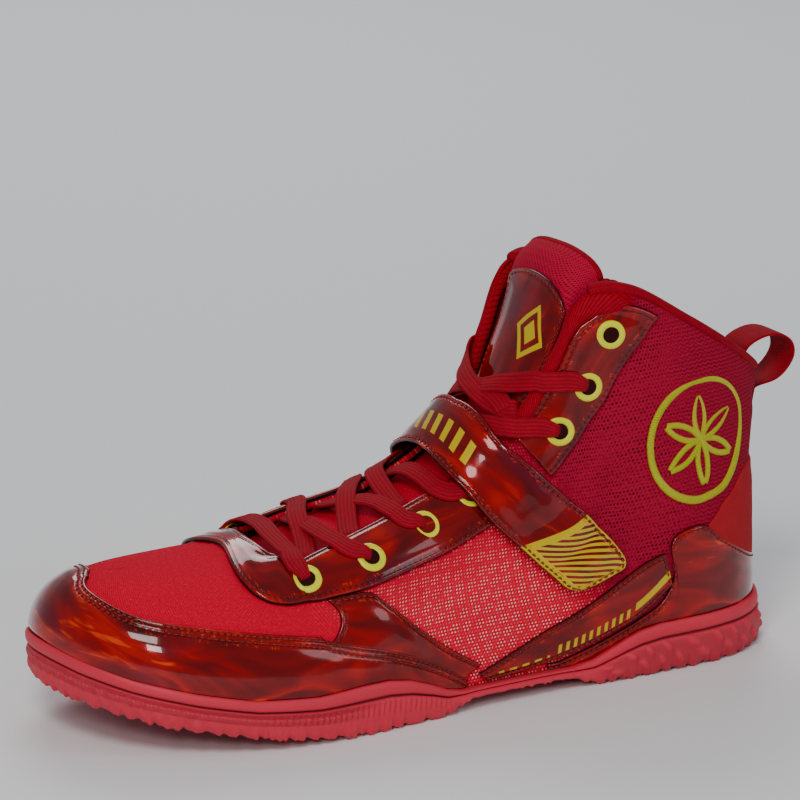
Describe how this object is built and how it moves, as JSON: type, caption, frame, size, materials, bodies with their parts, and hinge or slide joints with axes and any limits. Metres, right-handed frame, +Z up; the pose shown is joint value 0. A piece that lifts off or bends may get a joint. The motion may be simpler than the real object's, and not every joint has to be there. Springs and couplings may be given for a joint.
{
  "type": "wrestling shoe",
  "caption": "High-topped left wrestling shoe of red mesh with glossy panels, laced throat, instep strap, heel pull loop and a thin toothed rubber cup sole.",
  "frame": {"origin": "on the ground under the middle of the shoe's box", "axes": "+X towards the heel, so the toe points along -X; +Y to the medial side; +Z up"},
  "size_m": [0.2986, 0.102, 0.1553],
  "materials": {
    "sole_rubber": "satin",
    "insole_foam": "matt",
    "knit": "open mesh",
    "patent_film": "gloss",
    "eyelet_lime": "satin",
    "tongue_mesh": "matt",
    "lace_tape": "ribbed",
    "gore": "smooth"
  },
  "bodies": {
    "root": {"sole": "sole_rubber", "insole": "insole_foam", "upper": "knit", "toe_guard": "patent_film", "lower_eyestay": "patent_film", "heel_counter": "patent_film", "heel_gore": "gore", "side_bar_lateral": "patent_film", "side_bar_medial": "patent_film", "side_stripe_lateral": "patent_film", "side_stripe_medial": "patent_film", "upper_eyestay_lateral": "patent_film", "upper_eyestay_medial": "patent_film", "tongue": "tongue_mesh", "tongue_panel": "patent_film", "laces_lower": "lace_tape", "laces_upper": "lace_tape", "strap": "patent_film", "collar_binding": "lace_tape", "pull_loop": "lace_tape", "eyelet_lateral_1": "eyelet_lime", "eyelet_lateral_2": "eyelet_lime", "eyelet_lateral_3": "eyelet_lime", "eyelet_lateral_4": "eyelet_lime", "eyelet_lateral_5": "eyelet_lime", "eyelet_lateral_6": "eyelet_lime", "eyelet_lateral_7": "eyelet_lime", "eyelet_medial_1": "eyelet_lime", "eyelet_medial_2": "eyelet_lime", "eyelet_medial_3": "eyelet_lime", "eyelet_medial_4": "eyelet_lime", "eyelet_medial_5": "eyelet_lime", "eyelet_medial_6": "eyelet_lime", "eyelet_medial_7": "eyelet_lime"}
  },
  "joints": []
}
